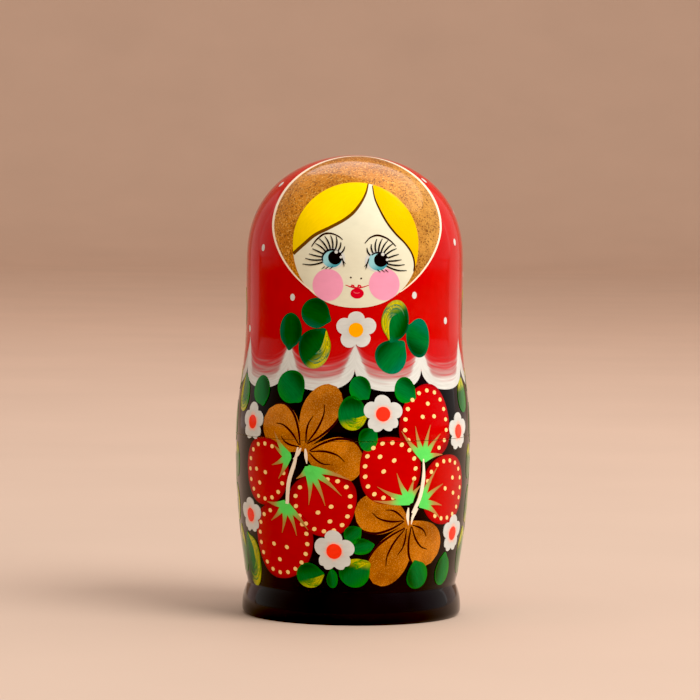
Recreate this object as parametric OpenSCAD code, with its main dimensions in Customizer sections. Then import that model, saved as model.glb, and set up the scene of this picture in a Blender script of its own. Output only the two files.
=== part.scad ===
// A set of five wooden nesting dolls, closed one inside another.
// Every doll is turned on a lathe: four are hollow, in two halves that plug together,
// and the smallest is solid. One outline is given, for a doll ref_height tall, and scaled.

/* [Set] */
// Height of the largest doll
largest_height = 170; // [150:1:190]
// Gap between a doll's foot and the cavity that it stands in, on the radius
foot_clearance = 1; // [0.5:0.1:1.5]

/* [Outline of a 170 mm doll] */
// Radius of the foot at its widest
foot_radius = 40.6; // [40:0.1:41.5]
// Height of the foot, up to the crease under the body
foot_height = 11.5; // [9:0.5:13]
// Radius of the crease between the foot and the body
crease_radius = 38.6; // [38:0.1:39.4]
// Radius of the belly, which is at the joint
belly_radius = 43.45; // [43:0.05:44]
// Height of the joint between the two halves
joint_height = 67; // [62:0.5:72]
// Height at which the shoulder has narrowed to the head's radius
shoulder_height = 106; // [100:1:112]
// Radius of the head
head_radius = 40; // [39.5:0.1:41]
// Height at which the dome of the head begins
dome_base = 130; // [125:1:135]
// Squareness of the dome: 2 is an ellipse
dome_power = 2.43; // [2:0.01:2.8]

/* [Wood] */
// Wall thickness of a very small doll
wall_least = 1.6; // [1.4:0.1:1.8]
// Growth of the wall per mm of the doll's height
wall_growth = 0.0225; // [0.02:0.0005:0.025]
// Floor thickness of a very small doll
floor_least = 2; // [1.5:0.1:2.5]
// Growth of the floor per mm of the doll's height
floor_growth = 0.035; // [0.03:0.001:0.04]
// Crown thickness of a very small doll
crown_least = 1.5; // [1:0.1:2]
// Growth of the crown per mm of the doll's height
crown_growth = 0.032; // [0.025:0.001:0.04]

/* [Joint] */
// Spigot length of a very small doll
spigot_least = 3.5; // [3:0.1:4]
// Growth of the spigot's length per mm of the doll's height
spigot_growth = 0.044; // [0.04:0.001:0.05]
// Clearance between a spigot and its socket, on the radius
spigot_clearance = 0.1; // [0.05:0.01:0.2]
// Gap left at faces that rest on each other
rest_gap = 0.1; // [0.05:0.01:0.2]
// Chamfer on the edges of a joint
seam_chamfer = 0.15; // [0.1:0.05:0.5]

/* [Hidden] */
$fn = 128;

ref_height = 170;       // height of the doll whose outline is given above
foot_widest = 3;        // height of the foot's widest ring
foot_edge_inset = 1;    // how far in the edge of the underside is from that ring
foot_edge_power = 4;    // how sharply the foot turns under
body_power = 2.2;       // how the body swells from the crease to the belly
curve_steps = 16;       // straight pieces in each turned curve
floor_corner = 0.8;     // radius where a cavity's wall meets its floor
socket_relief = 0.6;    // room above a closed spigot
ledge_height = 1;       // height of the step from a socket in to the cavity above it

function scale_of(h) = h / ref_height;
function wall(h) = wall_least + wall_growth * h;
function floor_thickness(h) = floor_least + floor_growth * h;
function crown_thickness(h) = crown_least + crown_growth * h;
function spigot_length(h) = spigot_least + spigot_growth * h;
function joint_z(h) = joint_height * scale_of(h);
function cavity_radius(h) = belly_radius * scale_of(h) - wall(h);
function spigot_radius(h) = cavity_radius(h) + wall(h) / 2;

// The tallest doll whose foot fits, with its clearance, on the floor of a doll of height h.
function next_height(h) = (crease_radius * scale_of(h) - wall(h) - foot_clearance) / scale_of(foot_radius);
second_height = next_height(largest_height);
third_height = next_height(second_height);
fourth_height = next_height(third_height);
smallest_height = next_height(fourth_height);

// Height at which each doll stands, on the floor of the next larger one.
second_base = floor_thickness(largest_height) + rest_gap;
third_base = second_base + floor_thickness(second_height) + rest_gap;
fourth_base = third_base + floor_thickness(third_height) + rest_gap;
smallest_base = fourth_base + floor_thickness(fourth_height) + rest_gap;

function steps(from, to, n) = [for (i = [0 : n]) from + (to - from) * i / n];
function scaled(points, k) = [for (p = points) p * k];
function reversed(points) = [for (i = [len(points) - 1 : -1 : 0]) points[i]];

// Radius at height z of the foot, of the body up to the joint, and of the shoulder above it.
function foot_at(z) = z < foot_widest
    ? foot_radius - foot_edge_inset * pow(1 - z / foot_widest, foot_edge_power)
    : foot_radius - (foot_radius - crease_radius) * pow((z - foot_widest) / (foot_height - foot_widest), 2);
function body_at(z) =
    belly_radius - (belly_radius - crease_radius)
                   * pow((joint_height - z) / (joint_height - foot_height), body_power);
function shoulder_at(z) =
    head_radius + (belly_radius - head_radius)
                  * (1 + cos(180 * (z - joint_height) / (shoulder_height - joint_height))) / 2;

// Outlines as [radius, height], each running upwards. A later one doesn't repeat its first point.
foot_outline = concat([for (z = steps(0, foot_widest, 6)) [foot_at(z), z]],
                      [for (z = steps(foot_widest, foot_height, 8)) if (z > foot_widest) [foot_at(z), z]]);
body_outline = [for (z = steps(foot_height, joint_height, curve_steps)) if (z > foot_height) [body_at(z), z]];
shoulder_outline =
    [for (z = steps(joint_height, shoulder_height, curve_steps)) if (z > joint_height) [shoulder_at(z), z]];

// A dome of radius r and height rise whose lowest ring is at height z.
function dome_outline(r, z, rise) =
    [for (a = steps(0, 90, 2 * curve_steps)) [r * cos(a), z + rise * pow(sin(a), 2 / dome_power)]];
function outer_dome(h) =
    dome_outline(head_radius * scale_of(h), dome_base * scale_of(h), (ref_height - dome_base) * scale_of(h));
function inner_dome(h) =
    dome_outline(head_radius * scale_of(h) - wall(h), dome_base * scale_of(h),
                 (ref_height - dome_base) * scale_of(h) - crown_thickness(h));

// Lower half: the foot and body outside, a spigot on top, and a cavity with a flat floor.
module doll_bottom(h, base) {
    belly = belly_radius * scale_of(h);
    rim = joint_z(h) - rest_gap / 2;
    spigot_top = joint_z(h) + spigot_length(h);
    floor_z = floor_thickness(h);
    floor_radius = crease_radius * scale_of(h) - wall(h);
    body = scaled(body_outline, scale_of(h));
    outside = [for (p = body) if (p[1] < rim - seam_chamfer) p];
    spigot = [
        [belly, rim - seam_chamfer],
        [belly - seam_chamfer, rim],
        [spigot_radius(h), rim],
        [spigot_radius(h), spigot_top - seam_chamfer],
        [spigot_radius(h) - seam_chamfer, spigot_top],
        [cavity_radius(h), spigot_top]];
    cavity = [for (p = reversed(body)) [p[0] - wall(h), p[1]]];
    corner = [for (a = steps(0, 90, 4))
        [floor_radius - floor_corner * (1 - cos(a)), floor_z + floor_corner * (1 - sin(a))]];
    translate([0, 0, base])
        rotate_extrude()
            polygon(concat([[0, 0]], scaled(foot_outline, scale_of(h)), outside, spigot, cavity,
                           [[floor_radius, foot_height * scale_of(h)]], corner, [[0, floor_z]]));
}

// Upper half: a socket for the spigot, then the shoulder and the domed head.
module doll_top(h, base) {
    belly = belly_radius * scale_of(h);
    rim = joint_z(h) + rest_gap / 2;
    socket = spigot_radius(h) + spigot_clearance;
    socket_top = joint_z(h) + spigot_length(h) + socket_relief;
    shoulder = [for (p = scaled(shoulder_outline, scale_of(h))) if (p[1] > rim + seam_chamfer) p];
    cavity = [for (p = shoulder) if (p[1] > socket_top + ledge_height) [p[0] - wall(h), p[1]]];
    translate([0, 0, base])
        rotate_extrude()
            polygon(concat(
                [[socket, rim], [belly - seam_chamfer, rim], [belly, rim + seam_chamfer]],
                shoulder, outer_dome(h), reversed(inner_dome(h)), reversed(cavity),
                [[cavity[0][0], socket_top], [socket, socket_top]]));
}

// The smallest doll is turned in one piece.
module solid_doll(h, base) {
    side = concat(foot_outline, body_outline, shoulder_outline);
    translate([0, 0, base])
        rotate_extrude()
            polygon(concat([[0, 0]], scaled(side, scale_of(h)), outer_dome(h)));
}

module largest_doll_bottom() { color("#140d0d") doll_bottom(largest_height, 0); }
module largest_doll_top() { color("#c00d10") doll_top(largest_height, 0); }
module second_doll_bottom() { color("#140d0d") doll_bottom(second_height, second_base); }
module second_doll_top() { color("#c00d10") doll_top(second_height, second_base); }
module third_doll_bottom() { color("#140d0d") doll_bottom(third_height, third_base); }
module third_doll_top() { color("#c00d10") doll_top(third_height, third_base); }
module fourth_doll_bottom() { color("#140d0d") doll_bottom(fourth_height, fourth_base); }
module fourth_doll_top() { color("#c00d10") doll_top(fourth_height, fourth_base); }
module smallest_doll() { color("#c00d10") solid_doll(smallest_height, smallest_base); }

largest_doll_bottom();
largest_doll_top();
second_doll_bottom();
second_doll_top();
third_doll_bottom();
third_doll_top();
fourth_doll_bottom();
fourth_doll_top();
smallest_doll();
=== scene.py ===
"""Looks of the five painted nesting dolls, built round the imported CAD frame.

The CAD nodes stay as they are, in bare linden. The black lacquer and every brush stroke over it are closed
films of paint, a tenth to a half of a millimetre thick on the largest doll. They lie on the outside and are
cut at the joint, so that each half carries its own share of the painting. The design is drawn once, in the
millimetres of a doll DESIGN_HEIGHT tall, and scaled to each doll.

Places on a doll: an angle in degrees round the axis, 0 at the front and growing to the viewer's right, and
a height in millimetres. Stamps such as leaves and berries are drawn in millimetres round such a place. The
face is drawn in front view: millimetres to the right of the axis, and a height.
"""
import math

import bpy
import numpy as np
from mathutils import Matrix, Vector


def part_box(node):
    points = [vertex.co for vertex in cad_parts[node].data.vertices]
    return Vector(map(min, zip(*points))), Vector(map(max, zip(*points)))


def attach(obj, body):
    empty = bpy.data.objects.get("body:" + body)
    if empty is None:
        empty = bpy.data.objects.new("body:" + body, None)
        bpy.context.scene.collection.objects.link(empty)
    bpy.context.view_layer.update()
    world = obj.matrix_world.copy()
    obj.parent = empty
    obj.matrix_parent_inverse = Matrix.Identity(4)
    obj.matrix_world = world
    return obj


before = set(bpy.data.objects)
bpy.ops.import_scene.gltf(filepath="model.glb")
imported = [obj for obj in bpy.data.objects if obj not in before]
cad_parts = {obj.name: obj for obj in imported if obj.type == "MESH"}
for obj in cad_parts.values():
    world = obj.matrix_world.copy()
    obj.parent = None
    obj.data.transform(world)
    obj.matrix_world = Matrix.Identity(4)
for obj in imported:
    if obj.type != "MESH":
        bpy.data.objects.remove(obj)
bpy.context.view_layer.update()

MM = 0.001
DESIGN_HEIGHT = 170.0
DOLLS = {
    "largest": ("largest_doll_bottom", "largest_doll_top"),
    "second": ("second_doll_bottom", "second_doll_top"),
    "third": ("third_doll_bottom", "third_doll_top"),
    "fourth": ("fourth_doll_bottom", "fourth_doll_top"),
    "smallest": ("smallest_doll",),
}


def srgb(red, green, blue):
    """A colour given as 0-255 display values, as the linear colour that shaders use."""
    def linear(c):
        c /= 255
        return c / 12.92 if c <= 0.04045 else ((c + 0.055) / 1.055) ** 2.4
    return np.array([linear(red), linear(green), linear(blue)])


# ---------------------------------------------------------------- colours
WHITE = srgb(214, 215, 208)
LINE_WHITE = srgb(250, 232, 206)
CREAM = srgb(255, 216, 140)
SKIN = srgb(229, 225, 197)
HAIR_YELLOW = srgb(252, 213, 4)
# a darker copy of the hair's yellow: a painted shade for the right side, where the key light falls brighter
HAIR_YELLOW_PAINTED_SHADE = srgb(244, 189, 2)
CHEEK_PINK = srgb(240, 158, 186)
IRIS_BLUE = srgb(150, 206, 212)
IRIS_TEAL = srgb(70, 158, 172)
BLACK = srgb(14, 10, 12)
LASH_BLACK = BLACK * 1.6
DARK_BROWN = srgb(66, 26, 12)
LIP_RED = srgb(206, 14, 44)
SHAWL_RED = srgb(194, 19, 21)
BERRY_RED = srgb(192, 3, 9)
BERRY_RIM = srgb(150, 0, 16)
CENTRE_RED = srgb(255, 56, 36)
CENTRE_YELLOW = srgb(253, 170, 4)
LEAF_DARK = srgb(0, 60, 14)
# a deeper copy of the leaf green: a painted shade for the side away from the key light
LEAF_GREEN_PAINTED_SHADE = srgb(0, 86, 24)
LEAF_MID = srgb(0, 112, 46)
LEAF_TEAL = srgb(0, 116, 90)
LEAF_BRIGHT = srgb(10, 136, 20)
LEAF_YELLOW = srgb(222, 206, 4)
SEPAL_GREEN = srgb(96, 226, 100)
SEPAL_TAN = srgb(182, 138, 76)
GOLD = srgb(199, 121, 32)
HOOD_GOLD = srgb(196, 126, 36)
# the paler gold of a painted sheen on the right of the hood
HOOD_PAINTED_SHEEN = srgb(214, 158, 76)


def added(name, data, **settings):
    """A new object in the scene."""
    obj = bpy.data.objects.new(name, data)
    for setting, value in settings.items():
        setattr(obj, setting, value)
    bpy.context.scene.collection.objects.link(obj)
    return obj


# ---------------------------------------------------------------- the turned outline, read from the frame
def mesh_arrays(node):
    """Corner points, each face's corners, and the faces' normals, centres and areas, of a CAD node."""
    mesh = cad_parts[node].data

    def read(items, name, width, kind=np.float32):
        values = np.empty(len(items) * width, kind)
        items.foreach_get(name, values)
        return values.reshape(-1, width) if width > 1 else values
    faces = mesh.polygons
    face_of_corner = np.repeat(np.arange(len(faces)), read(faces, "loop_total", 1, np.int32))
    points = read(mesh.vertices, "co", 3).astype(float)
    corners = read(mesh.loops, "vertex_index", 1, np.int32)
    normals, centres, areas = read(faces, "normal", 3), read(faces, "center", 3), read(faces, "area", 1)
    return points, corners, face_of_corner, normals, centres, areas


LEAST_WAIST = 0.85    # the outside's least radius as a share of the widest; faces further in are the cavity


def outside_points(node):
    """The corners of a node's outside, without the underside, the joint, the inside and sliver faces."""
    points, corners, face_of_corner, normals, centres, areas = mesh_arrays(node)
    radius = np.linalg.norm(points[:, :2], axis=1)
    away = centres[:, :2] / np.maximum(np.linalg.norm(centres[:, :2], axis=1), 1e-9)[:, None]
    out, up = (normals[:, :2] * away).sum(1), normals[:, 2]
    if node.endswith("_bottom"):
        rim = points[radius > radius.max() - 1e-6, 2].max()
        far_out = np.linalg.norm(centres[:, :2], axis=1) > LEAST_WAIST * radius.max()
        outside = (out > 0.05) & (centres[:, 2] < rim) & far_out
    else:
        outside = (out > 0.05) | (up > 0.3)
    found = points[corners[(outside & (areas > 1e-12))[face_of_corner]]]
    if node.endswith("_top"):  # leave out the chamfer of the joint
        radius = np.linalg.norm(found[:, :2], axis=1)
        found = found[found[:, 2] > found[radius.argmax(), 2] - 1e-6]
    return found


RING_GAP = 0.02       # rings of corners closer than this count as one, in design millimetres
OUTLINE_SAMPLES = 4000
CELL = 1.5            # longest side of a film's faces, in design millimetres
ROW_BEND = 5.0        # degrees by which the outline turns from one row of faces to the next


class Outline:
    """The painted outline of one doll from the foot to the crown, in design millimetres."""

    def __init__(self, nodes):
        boxes = [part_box(n) for n in nodes]
        self.base = min(low.z for low, high in boxes)
        self.scale = (max(high.z for low, high in boxes) - self.base) / (DESIGN_HEIGHT * MM) * MM
        rings = {}
        for node in nodes:
            for x, y, z in outside_points(node):
                height = round((z - self.base) / self.scale, 3)
                rings.setdefault(height, []).append(math.hypot(x, y) / self.scale)
        heights = np.array(sorted(rings))
        heights = heights[np.concatenate([[True], np.diff(heights) > RING_GAP])]
        radii = np.array([max(rings[h]) for h in heights])
        length = np.concatenate([[0], np.cumsum(np.hypot(np.diff(radii), np.diff(heights)))])
        self.samples = np.linspace(0, length[-1], OUTLINE_SAMPLES)
        self.r, self.z, dr, dz = self.smooth(length, radii, heights)
        size = np.hypot(dr, dz)
        self.out, self.up = dz / size, -dr / size
        straight = np.interp(self.samples, length, radii), np.interp(self.samples, length, heights)
        # in a hollow the node's own faces stand before the curve, so the film follows them
        hollow = (self.r - straight[0]) * self.out + (self.z - straight[1]) * self.up < 0
        self.r, self.z = np.where(hollow, straight[0], self.r), np.where(hollow, straight[1], self.z)
        bend = np.abs(np.diff(np.unwrap(np.arctan2(self.up, self.out))))
        self.rows = self.samples / CELL + np.concatenate([[0], np.cumsum(bend)]) / math.radians(ROW_BEND)

    def smooth(self, length, radii, heights):
        """Hermite curves through the rings, and their slopes, at every sample."""
        found = []
        i = np.clip(np.searchsorted(length, self.samples) - 1, 0, len(length) - 2)
        step = length[i + 1] - length[i]
        f = (self.samples - length[i]) / step
        for values in (radii, heights):
            slope = np.gradient(values, length)
            a, b, ma, mb = values[i], values[i + 1], slope[i] * step, slope[i + 1] * step
            found.append(a * (2 * f**3 - 3 * f**2 + 1) + b * (3 * f**2 - 2 * f**3)
                         + ma * (f**3 - 2 * f**2 + f) + mb * (f**3 - f**2))
            found.append((a * (6 * f**2 - 6 * f) + b * (6 * f - 6 * f**2)
                          + ma * (3 * f**2 - 4 * f + 1) + mb * (3 * f**2 - 2 * f)) / step)
        return found[0], found[2], found[1], found[3]

    def along(self, height):
        """Length along the outline at a height."""
        return np.interp(height, self.z, self.samples)

    def radius(self, t):
        return np.interp(t, self.samples, self.r)

    def place(self, angle, t, lift):
        """Points in the row frame, and the surface's normals there."""
        r, z, out, up = (np.interp(t, self.samples, v) for v in (self.r, self.z, self.out, self.up))
        side, front = np.sin(angle), -np.cos(angle)
        normal = np.stack([out * side, out * front, up], -1)
        point = np.stack([r * side, r * front, z], -1) + normal * np.asarray(lift)[..., None]
        point *= self.scale
        point[..., 2] += self.base
        return point, normal


# ---------------------------------------------------------------- drawing on the outline
COAT = 0.08           # thickness of the lacquer ground under the painting, in design millimetres
LAYER = 0.03          # how much higher each layer of paint lies than the one before; layer 0 is the lacquer
SUNK = 0.03           # how far the films reach into the shell
FINE = 0.02           # half width of a stroke where it runs out


def evenly(points, count, closed=False):
    """count points evenly spaced along a line of points."""
    length = np.concatenate([[0], np.cumsum(np.linalg.norm(np.diff(points, axis=0), axis=1))])
    at = np.linspace(0, length[-1], count, endpoint=not closed)
    return np.stack([np.interp(at, length, points[:, i]) for i in (0, 1)], -1)


def smoothed(points, count, closed=False):
    """A smooth curve through the points, as evenly spaced points."""
    p = np.asarray(points, float)
    p = np.vstack([p[-1], p, p[:2]]) if closed else np.vstack([2 * p[0] - p[1], p, 2 * p[-1] - p[-2]])
    fine = []
    for a, b, c, d in zip(p, p[1:], p[2:], p[3:]):
        f = np.linspace(0, 1, 16, endpoint=False)[:, None]
        fine.append(0.5 * (2 * b + (c - a) * f + (2 * a - 5 * b + 4 * c - d) * f**2
                           + (3 * b - a - 3 * c + d) * f**3))
    return evenly(np.vstack(fine + [p[-2:-1] if not closed else fine[0][:1]]), count, closed)


def turned(points, degrees):
    """The points turned round (0, 0), anticlockwise."""
    a = math.radians(degrees)
    return np.asarray(points, float) @ np.array([[math.cos(a), math.sin(a)], [-math.sin(a), math.cos(a)]])


def blend(a, b, f):
    """From a to b as f goes from 0 to 1."""
    f = np.clip(np.asarray(f, float), 0, 1)[..., None]
    return np.asarray(a) * (1 - f) + np.asarray(b) * f


def level(height):
    """The same height at every angle."""
    return lambda degrees: np.full(len(degrees), height)


def step(f, start, end):
    """0 before start, 1 after end, smooth between them."""
    f = np.clip((np.asarray(f, float) - start) / (end - start), 0, 1)
    return f * f * (3 - 2 * f)


class Patch:
    """A flat piece of paint: points, faces (-1 for the missing corner of a triangle), and the brush's way
    at each point (along, across)."""

    def __init__(self, points, faces, stroke):
        self.points, self.faces, self.stroke = points, faces, stroke

    def moved(self, x, y, degrees=0):
        return Patch(turned(self.points, degrees) + (x, y), self.faces, self.stroke)


def grid_faces(rows, columns, wrap=False):
    i, j = np.meshgrid(np.arange(rows - 1), np.arange(columns if wrap else columns - 1), indexing="ij")
    i, j = i.ravel(), j.ravel()
    k = (j + 1) % columns
    return np.stack([i * columns + j, i * columns + k, (i + 1) * columns + k, (i + 1) * columns + j], -1)


def facing_up(patch):
    """Turns the faces round where they would face into the doll."""
    p, q = patch.points[patch.faces[:, 0]], patch.points[patch.faces[:, 1]]
    r = patch.points[patch.faces[:, 2]]
    area = ((q - p)[:, 0] * (r - p)[:, 1] - (q - p)[:, 1] * (r - p)[:, 0]).sum()
    if area < 0:
        quads = patch.faces[:, 3] >= 0
        turned_round = patch.faces.copy()
        turned_round[quads] = patch.faces[quads][:, ::-1]
        turned_round[~quads, :3] = patch.faces[~quads][:, 2::-1]
        patch.faces = turned_round
    return patch


def loft(first, last, across=None):
    """A patch between two lines of equally many points."""
    first, last = np.asarray(first, float), np.asarray(last, float)
    if across is None:
        across = 1 + max(1, math.ceil(np.linalg.norm(last - first, axis=1).max() / CELL))
    f = np.linspace(0, 1, across)[None, :, None]
    points = first[:, None, :] * (1 - f) + last[:, None, :] * f
    length = np.concatenate([[0], np.cumsum(np.linalg.norm(np.diff((first + last) / 2, axis=0), axis=1))])
    stroke = np.stack(np.broadcast_arrays(length[:, None], f[..., 0]), -1)
    return facing_up(Patch(points.reshape(-1, 2), grid_faces(len(points), across), stroke.reshape(-1, 2)))


def ribbon(path, half_width):
    """A stroke of a brush along a path, half_width wide to each side."""
    path = np.asarray(path, float)
    way = np.gradient(path, axis=0)
    way /= np.maximum(np.linalg.norm(way, axis=1), 1e-9)[:, None]
    half_width = np.maximum(np.broadcast_to(half_width, len(path)), FINE)
    side = np.stack([-way[:, 1], way[:, 0]], -1) * half_width[:, None]
    return loft(path - side, path + side)


def line(points, widest, start=1.0, end=0.3, spacing=0.7):
    """A thin stroke through a few points; start and end are its width there as a share of the widest."""
    rough = np.asarray(points, float)
    length = np.linalg.norm(np.diff(rough, axis=0), axis=1).sum()
    count = max(4, int(length / spacing))
    f = np.linspace(0, 1, count)
    taper = np.minimum(start + (1 - start) * np.minimum(f / 0.35, 1),
                       end + (1 - end) * np.minimum((1 - f) / 0.45, 1))
    return ribbon(smoothed(points, count), widest / 2 * taper)


def blob(outline, centre=None):
    """A patch inside a closed outline that can be seen whole from its centre."""
    outline = np.asarray(outline, float)
    centre = outline.mean(0) if centre is None else np.asarray(centre, float)
    n = len(outline)
    rings = max(1, math.ceil(np.linalg.norm(outline - centre, axis=1).max() / CELL))
    f = np.arange(1, rings + 1) / rings
    points = centre + f[:, None, None] * (outline - centre)[None]
    points = np.vstack([centre, points.reshape(-1, 2)])
    fan = np.stack([np.zeros(n, int), 1 + (np.arange(n) + 1) % n, 1 + np.arange(n), np.full(n, -1)], -1)
    faces = np.vstack([fan, grid_faces(rings, n, wrap=True) + 1]) if rings > 1 else fan
    return facing_up(Patch(points, faces, (points - centre) * (1.0, 0.25)))


def round_outline(radius_at, spacing=0.7, turn=0.0):
    """An outline round (0, 0) whose radius is a function of the angle in radians."""
    size = float(radius_at(np.linspace(0, 2 * math.pi, 24)).mean())
    a = np.linspace(0, 2 * math.pi, max(8, int(2 * math.pi * size / spacing)), endpoint=False)
    r = radius_at(a)
    return np.stack([r * np.cos(a + turn), r * np.sin(a + turn)], -1)


def disc(radius, squeeze=1.0, spacing=0.7):
    return blob(round_outline(lambda a: np.full(len(a), radius), spacing) * (1, squeeze), centre=(0, 0))


def bump_at(a, degrees, width):
    """1 at one direction, falling to 0 away from it."""
    d = (np.asarray(a) - math.radians(degrees) + math.pi) % (2 * math.pi) - math.pi
    return np.exp(-(d / width) ** 2)


class Film:
    """All the paint of one kind on one doll."""

    def __init__(self, outline):
        self.outline = outline
        self.parts = []

    def lay(self, patch, angle, t, layer, colour):
        n = len(patch.points)
        stroke = np.hstack([patch.stroke, np.full((n, 1), 7.3 * len(self.parts))])
        lift = np.full(n, COAT + layer * LAYER)
        self.parts.append((angle, t, lift, np.broadcast_to(colour, (n, 3)), stroke, patch.faces))

    def stamp(self, patch, angle, height, layer, colour, back=False):
        """Lays a patch drawn in millimetres round (0, 0) at a place on the doll."""
        t0 = float(self.outline.along(height))
        radius = float(self.outline.radius(t0))
        turn = math.pi if back else 0.0
        angles = turn + math.radians(angle) + patch.points[:, 0] / radius
        self.lay(patch, angles, t0 + patch.points[:, 1], layer, colour)

    def front(self, patch, layer, colour):
        """Lays a patch drawn in front view: millimetres to the right, and along the outline."""
        x, t = patch.points[:, 0], patch.points[:, 1]
        self.lay(patch, np.arcsin(np.clip(x / self.outline.radius(t), -1, 1)), t, layer, colour)

    def ring(self, low, high, layer, colour, count=192):
        """Lays a band right round the doll between two heights, each a function of the angle in degrees."""
        degrees = np.linspace(-180, 180, count, endpoint=False)
        outline = self.outline
        first, last = (np.interp(np.broadcast_to(outline.along(edge(degrees)), count), outline.samples,
                                 outline.rows) for edge in (low, high))
        f = np.linspace(0, 1, 1 + math.ceil((last - first).max()))[:, None]
        t = np.interp(first * (1 - f) + last * f, outline.rows, outline.samples)
        a = np.broadcast_to(np.radians(degrees), t.shape)
        stroke = np.stack([a * 40, t / 25], -1).reshape(-1, 2)
        patch = Patch(np.stack([a.ravel(), t.ravel()], -1), grid_faces(len(t), count, wrap=True), stroke)
        self.lay(patch, a.ravel(), t.ravel(), layer, colour)

    def joined(self):
        """All the patches as one: (angle, t, lift, colour, stroke) rows, and faces."""
        count, rows, faces = 0, [], []
        for angle, t, lift, colour, stroke, corners in self.parts:
            rows.append(np.hstack([angle[:, None], t[:, None], lift[:, None], colour, stroke]))
            faces.append(np.where(corners >= 0, corners + count, -1))
            count += len(angle)
        return np.vstack(rows), np.vstack(faces)


def cut_at(rows, faces, t_cut, above):
    """The faces above or below a length along the outline, those that cross it being cut. Returns the rows
    in use, the untouched faces as an array, and the cut ones as lists of corners."""
    side = (rows[:, 1] - t_cut) * (1 if above else -1)
    inside = (side[faces] >= 0) | (faces < 0)
    outside = (side[faces] < 0) | (faces < 0)
    whole = faces[inside.all(1)]
    extra, made, cut = [], {}, []
    for face in faces[~inside.all(1) & ~outside.all(1)].tolist():
        face = [c for c in face if c >= 0]
        piece = []
        for a, b in zip(face, face[1:] + face[:1]):
            if side[a] >= 0:
                piece.append(a)
            if (side[a] >= 0) != (side[b] >= 0):
                key = (min(a, b), max(a, b))
                if key not in made:
                    f = side[key[0]] / (side[key[0]] - side[key[1]])
                    made[key] = len(rows) + len(extra)
                    extra.append(rows[key[0]] * (1 - f) + rows[key[1]] * f)
                piece.append(made[key])
        if len(piece) > 2:
            cut.append(piece)
    rows = np.vstack([rows] + extra) if extra else rows
    used = np.unique(np.concatenate([whole[whole >= 0]] + [np.array(c) for c in cut]).astype(int))
    place = np.full(len(rows) + 1, -1)
    place[used] = np.arange(len(used))
    return rows[used], place[whole], [place[c].tolist() for c in cut]


def build_film(name, film, body, material, t_cut=None, above=True):
    """Makes the closed film of paint that is on this half, if there is any."""
    if not film.parts:
        return
    rows, faces = film.joined()
    rows, whole, cut = cut_at(rows, faces, -1.0 if t_cut is None else t_cut, above)
    if not len(rows):
        return
    outline, n = film.outline, len(rows)
    top, normals = outline.place(rows[:, 0], rows[:, 1], rows[:, 2])
    low, _ = outline.place(rows[:, 0], rows[:, 1], np.full(n, -SUNK))

    # the corners of all the faces in one row: the upper side, the under side, and the rim that closes them
    upper = np.concatenate([whole[whole >= 0]] + [np.array(c) for c in cut]).astype(int)
    sizes = np.concatenate([(whole >= 0).sum(1), [len(c) for c in cut]]).astype(int)
    starts = np.cumsum(sizes) - sizes
    face_of = np.repeat(np.arange(len(sizes)), sizes)
    step_in = np.arange(len(upper)) - starts[face_of]
    following = upper[starts[face_of] + (step_in + 1) % sizes[face_of]]
    reversed_corners = upper[starts[face_of] + sizes[face_of] - 1 - step_in]
    lonely = ~np.isin(upper * n + following, following * n + upper)
    a, b = upper[lonely], following[lonely]
    rim = np.stack([b, a, a + n, b + n], -1)
    corners = np.concatenate([upper, reversed_corners + n, rim.ravel()])
    sizes = np.concatenate([sizes, sizes, np.full(len(rim), 4)])
    outwards = np.cross(top[b] - top[a], normals[a])
    outwards /= np.maximum(np.linalg.norm(outwards, axis=1), 1e-12)[:, None]
    shaded = np.vstack([normals[upper], -normals[reversed_corners], np.repeat(outwards, 4, axis=0)])

    mesh = bpy.data.meshes.new(name)
    for items, count in ((mesh.vertices, 2 * n), (mesh.loops, len(corners)), (mesh.polygons, len(sizes))):
        items.add(count)

    def fill(items, key, values, kind=np.float32):
        items.foreach_set(key, np.asarray(values).astype(kind).ravel())
    fill(mesh.vertices, "co", np.vstack([top, low]))
    fill(mesh.loops, "vertex_index", corners, np.int32)
    fill(mesh.polygons, "loop_start", np.cumsum(sizes) - sizes, np.int32)
    fill(mesh.polygons, "loop_total", sizes, np.int32)
    fill(mesh.polygons, "use_smooth", np.ones(len(sizes)), bool)
    mesh.update(calc_edges=True)
    colours = np.hstack([rows[:, 3:6], np.ones((n, 1))])
    for attribute, kind, key, values in (("paint", "FLOAT_COLOR", "color", colours),
                                         ("stroke", "FLOAT_VECTOR", "vector", rows[:, 6:9])):
        fill(mesh.attributes.new(attribute, kind, "POINT").data, key, np.vstack([values, values]))
    mesh.normals_split_custom_set(shaded.tolist())
    mesh.materials.append(material)
    obj = added(name, mesh)
    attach(obj, body)


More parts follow.
